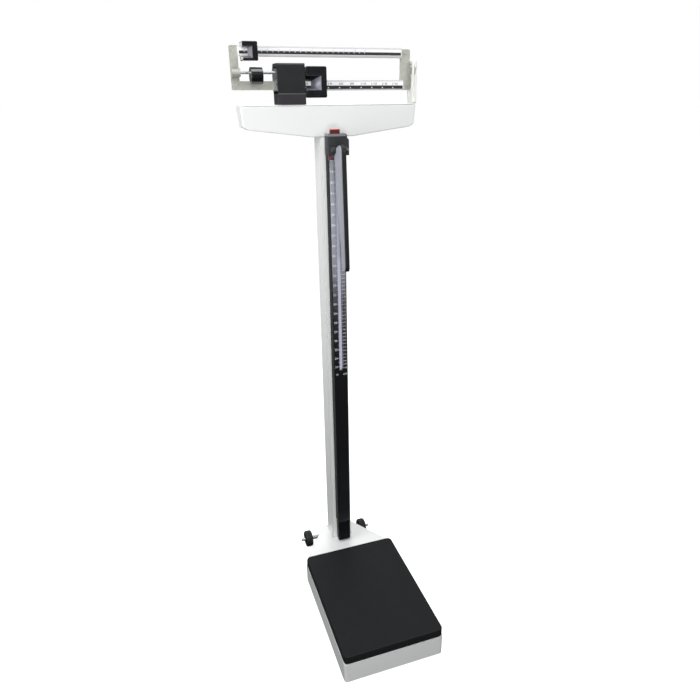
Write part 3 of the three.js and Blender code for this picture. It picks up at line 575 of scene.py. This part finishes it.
def make_housing():
    """One moulding whose foot stands a little proud of its face, below a crease whose upward
    chamfer carries a painted highlight.
    """
    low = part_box("fulcrum_housing")[0]
    crease = low.z + HOUSING_CREASE

    def not_crease(edge):
        return not all(v.co.y < low.y + 2.5 * MM and abs(v.co.z - crease) < 4 * MM
                       for v in edge.verts)

    made = dressed("fulcrum_housing", 1.0 * MM, segments=3, chosen=not_crease)
    # The foot's front faces below the crease are given a lighter, purplish black.
    recolour(made, HOUSING_FOOT_FRONT_TONE, lambda normal, centre: centre.z < crease and normal.y < -0.9)
    # The upward chamfer at the crease gets the lighter grey, a painted highlight.
    recolour(made, PLASTIC_PAINTED_HIGHLIGHT, lambda normal, centre: centre.y < low.y + 1.2 * MM
             and 0.2 < normal.z < 0.95 and abs(centre.z - crease) < 4 * MM)


def make_beam():
    for bar in ("upper_bar", "lower_bar"):
        recolour(dressed(bar, 0.25 * MM), BAR_EDGE, lambda normal, centre: abs(normal.z) > 0.2)
    dressed("left_end_plate", 0.7 * MM, PLATE, split=True)
    dressed("right_end_plate", 0.7 * MM, PLATE)
    dressed("balance_rod", 0.3 * MM)
    dressed("balance_weight", 1.8 * MM, GLOSS_PAINT, segments=3)
    for place in ("upper_left", "lower_left", "upper_right", "lower_right"):
        make_rivet(f"rivet_{place}")
    make_upper_scale()
    make_lower_scale()


def make_rivet(node):
    low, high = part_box(node)
    middle = (low + high) / 2
    r = (high.x - low.x) / 2
    height = 0.45 * (high.y - low.y)
    profile = [(0, height), (0.82 * r, height), (0.95 * r, 0.8 * height), (r, 0), (0, 0)]
    head = turned(profile, (middle.x, high.y, middle.z), (0, -1, 0), 24)
    made = piece(f"{node}_skin", head, "beam", PLATE)
    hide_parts(node)


def graduated(bar, band, end_gap):
    """Puts the black band on a bar, and returns the bar's box, the band's heights and the marks'
    depth. band is its heights above the bar's low edge, and end_gap what it leaves free left and
    right."""
    low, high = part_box(bar)
    band = (low.z + band[0], low.z + band[1])
    y_band = (low.y - 0.05 * MM, low.y + 0.4 * MM)
    y_mark = (low.y - 0.1 * MM, low.y + 0.3 * MM)
    row = ((low.x + end_gap[0], high.x - end_gap[1]), y_band, band)
    piece(f"{bar}_band", bars([row]), "beam", BLACK_INK)
    return low, high, band, y_mark


def make_upper_scale():
    """The small poise's bar: fine ticks on a bright band, over a black band with small notches."""
    low, _, band, y_mark = graduated("upper_bar", UPPER_BAND, (2 * MM, 1.5 * MM))
    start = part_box("small_poise")[0].x + 6.5 * MM
    notches = []
    ticks = []
    labels = []
    for i in range(111):
        x = start + i * UPPER_STEP
        tall = i % 5 == 0
        half = (0.16 if tall else 0.09) * MM
        top = band[1] + (3.0 if tall else 1.7) * MM
        ticks.append(((x - half, x + half), y_mark, (band[1] + 0.2 * MM, top)))
        if tall:
            notch = (band[1] - 2.6 * MM, band[1] + 0.05 * MM)
            notches.append(((x - 0.7 * MM, x + 0.7 * MM), y_mark, notch))
        if i % 10 == 0:
            labels.append((str(i // 10), x + 0.8 * MM, band[1] + 3.4 * MM, "LEFT"))
    piece("upper_notches", bars(notches), "beam", WHITE_INK)
    piece("upper_ticks", bars(ticks), "beam", BLACK_INK)
    piece("upper_numbers", lettering(labels, 3.4 * MM, low.y), "beam", BLACK_INK)


def make_lower_scale():
    """The large poise's bar: figures on a bright band, over a black band with white notches."""
    low, high, band, y_mark = graduated("lower_bar", LOWER_BAND, (0.5 * MM, 1 * MM))
    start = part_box("large_poise")[0].x + 4.8 * MM
    notches = []
    ticks = []
    labels = []
    for i in range(9):
        x = start + i * LOWER_STEP
        if x > high.x - 6 * MM:
            break
        notch = (band[0] + 1.4 * MM, band[0] + 4.0 * MM)
        tick = (band[1] + 0.2 * MM, band[1] + 6.5 * MM)
        notches.append(((x - 1.1 * MM, x + 1.1 * MM), y_mark, notch))
        ticks.append(((x - 0.45 * MM, x + 0.45 * MM), y_mark, tick))
        labels.append((str(20 * i), x + 2.0 * MM, band[1] + 3.6 * MM, "LEFT"))
    piece("lower_notches", bars(notches), "beam", WHITE_INK)
    piece("lower_ticks", bars(ticks), "beam", BLACK_INK)
    piece("lower_numbers", lettering(labels, 7.2 * MM, low.y), "beam", BLACK_INK)


def make_poises():
    """Black in front; in the funnel round the reading window the left-facing facets and the upward
    sills are painted grey, a painted reflection and painted highlight.
    """
    bar_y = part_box("upper_bar")[0].y
    for node, width, facet_painted_light in (("large_poise", 1.6 * MM, POISE_FACET_PAINTED_REFLECTION),
                                    ("small_poise", 1.0 * MM, POISE_WINDOW_PAINTED_LIGHT)):
        low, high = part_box(node)

        def outer(edge):
            return all(min(abs(v.co.y - low.y), abs(v.co.y - high.y)) < 1e-5 for v in edge.verts)

        def in_funnel(centre):
            return low.y + 0.3 * MM < centre.y < bar_y

        made = dressed(node, width, segments=3, chosen=outer)
        # Painted reflection on the funnel's left-facing facets, and painted highlight on its upward
        # sills.
        recolour(made, facet_painted_light, lambda normal, centre: in_funnel(centre)
                 and centre.x > low.x + 5 * MM and normal.x < -0.4 and normal.y < -0.1)
        recolour(made, POISE_WINDOW_PAINTED_LIGHT, lambda normal, centre: in_funnel(centre)
                 and normal.z > 0.5 and normal.y < -0.02)
        if node == "small_poise":
            recolour(made, BAR_EDGE, lambda normal, centre: abs(normal.x) > 0.95
                     and (centre.x < low.x + 1 * MM or centre.x > high.x - 1 * MM))


# ---------------------------------------------------------------- wheels
def make_wheel(node):
    low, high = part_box(node)
    middle = (low + high) / 2
    r = (high.z - low.z) / 2
    half = (high.x - low.x) / 2
    rim = r - 6 * MM
    hub = 8.5 * MM
    bore = 4.3 * MM
    dish = half - 3.5 * MM
    seat = rim + 0.2 * MM
    side = [(rim, half - 1 * MM), (r - 3 * MM, half), (r - 0.8 * MM, half - 1.6 * MM),
            (r, half - 4 * MM), (r, 1.4 * MM), (r - 1.2 * MM, 0.7 * MM)]
    tyre = [(radius, -x) for radius, x in side] + side[::-1] + [(rim, -half + 1 * MM)]
    core = [(bore, -half), (hub, -half), (hub, -dish), (seat, -dish), (seat, dish), (hub, dish),
            (hub, half), (bore, half), (bore, -half)]
    spokes = []
    for i in range(SPOKES):
        rib = solid((-half + 1.2 * MM, half - 1.2 * MM), (hub - 1 * MM, seat),
                    (-1.1 * MM, 1.1 * MM))
        round_edges(rib, 0.4 * MM)
        rib.transform(Matrix.Translation(middle) @ Matrix.Rotation(math.tau * i / SPOKES, 4, "X"))
        spokes.append(rib)
    made = piece(f"{node}_tyre", turned(tyre, middle, (1, 0, 0), 48), node, TYRE)
    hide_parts(node)
    piece(f"{node}_core", [turned(core, middle, (1, 0, 0), 48), *spokes], node, PLASTIC)


def make_running_gear():
    for side in ("left", "right"):
        make_wheel(f"wheel_{side}")
        dressed(f"axle_cap_{side}", 0.3 * MM)
        dressed(f"axle_bracket_{side}", 0.7 * MM)
    dressed("axle", 0.3 * MM)


# ---------------------------------------------------------------- what stays as the CAD made it
def dress_the_rest():
    """Every CAD node that still shows gets the finish of its slot."""
    for node, made in frame["nodes"].items():
        if not made.hide_render:
            made.data.materials.clear()
            made.data.materials.append(FINISH[SLOT_OF[node]])


# ---------------------------------------------------------------- studio
def make_floor():
    bm = bmesh.new()
    bmesh.ops.create_grid(bm, x_segments=2, y_segments=2, size=60)
    mesh = bpy.data.meshes.new("studio_floor")
    bm.to_mesh(mesh)
    bm.free()
    mesh.materials.append(FLOOR)
    floor = bpy.data.objects.new("studio_floor", mesh)
    floor.location.z = CAD_BOX[0][2] - 0.05 * MM
    floor.visible_diffuse = False
    floor.visible_glossy = False
    bpy.context.scene.collection.objects.link(floor)


def area_light(name, place, target, size, radiance):
    """A soft box: its power follows from its size and from how bright its face looks."""
    data = bpy.data.lights.new(name, "AREA")
    data.shape = "RECTANGLE"
    data.size = size[0]
    data.size_y = size[1]
    data.energy = radiance * size[0] * size[1] * math.pi
    lamp = bpy.data.objects.new(name, data)
    lamp.location = place
    lamp.rotation_euler = (Vector(target) - Vector(place)).to_track_quat("-Z", "Y").to_euler()
    lamp.visible_camera = False
    bpy.context.scene.collection.objects.link(lamp)


def ramp(nodes, link, value, start, end, low, high):
    """A smooth step from low to high as the value goes from start to end."""
    step = nodes.new("ShaderNodeMapRange")
    step.interpolation_type = "SMOOTHSTEP"
    step.inputs["From Min"].default_value = start
    step.inputs["From Max"].default_value = end
    step.inputs["To Min"].default_value = low
    step.inputs["To Max"].default_value = high
    link(value, step.inputs["Value"])
    return step.outputs["Result"]


def studio_world():
    """Dim walls that are darker low down, a brighter backdrop, and white where the camera looks."""
    world = bpy.data.worlds.new("studio")
    world.use_nodes = True
    nodes = world.node_tree.nodes
    link = world.node_tree.links.new
    place = nodes.new("ShaderNodeTexCoord")
    split = nodes.new("ShaderNodeSeparateXYZ")
    link(place.outputs["Generated"], split.inputs["Vector"])
    walls = ramp(nodes, link, split.outputs["Z"], -0.1, 0.35, 0.026, 0.265)
    backdrop = ramp(nodes, link, split.outputs["Y"], 0.3, 0.75, 0.0, 0.1)
    both = nodes.new("ShaderNodeMath")
    both.operation = "ADD"
    link(walls, both.inputs[0])
    link(backdrop, both.inputs[1])
    light = nodes["Background"]
    link(both.outputs["Value"], light.inputs["Strength"])
    seen = nodes.new("ShaderNodeBackground")
    seen.inputs["Strength"].default_value = 1.0
    rays = nodes.new("ShaderNodeLightPath")
    chosen = nodes.new("ShaderNodeMixShader")
    link(rays.outputs["Is Camera Ray"], chosen.inputs["Fac"])
    link(light.outputs["Background"], chosen.inputs[1])
    link(seen.outputs["Background"], chosen.inputs[2])
    link(chosen.outputs["Shader"], nodes["World Output"].inputs["Surface"])
    for shade in (light, seen):
        shade.inputs["Color"].default_value = (1, 1, 1, 1)
    bpy.context.scene.world = world


def make_studio():
    studio_world()
    bpy.context.scene.view_settings.view_transform = "Standard"
    for light in LIGHTS:
        area_light(*light)
    make_floor()


def make_camera():
    """Turned by yaw from the Y axis, down by pitch, and then rolled about the line of sight."""
    yaw, pitch, roll = CAMERA_YAW, CAMERA_PITCH, CAMERA_ROLL
    forward = Vector((math.sin(yaw) * math.cos(pitch), math.cos(yaw) * math.cos(pitch),
                      -math.sin(pitch)))
    side = Vector((math.cos(yaw), -math.sin(yaw), 0))
    up = side.cross(forward)
    right = side * math.cos(roll) + up * math.sin(roll)
    top = up * math.cos(roll) - side * math.sin(roll)
    data = bpy.data.cameras.new("camera")
    data.sensor_width = 36
    data.lens = CAMERA_LENS
    data.shift_x, data.shift_y = CAMERA_SHIFT
    data.clip_start = 0.05
    camera = bpy.data.objects.new("camera", data)
    turn = Matrix((right, top, -forward)).transposed().to_4x4()
    camera.matrix_world = Matrix.Translation(CAMERA_PLACE) @ turn
    bpy.context.scene.collection.objects.link(camera)
    bpy.context.scene.camera = camera


make_camera()
make_studio()
make_base()
make_column()
make_height_rod()
make_headpiece()
make_shelf()
make_housing()
make_beam()
make_poises()
make_running_gear()
dress_the_rest()
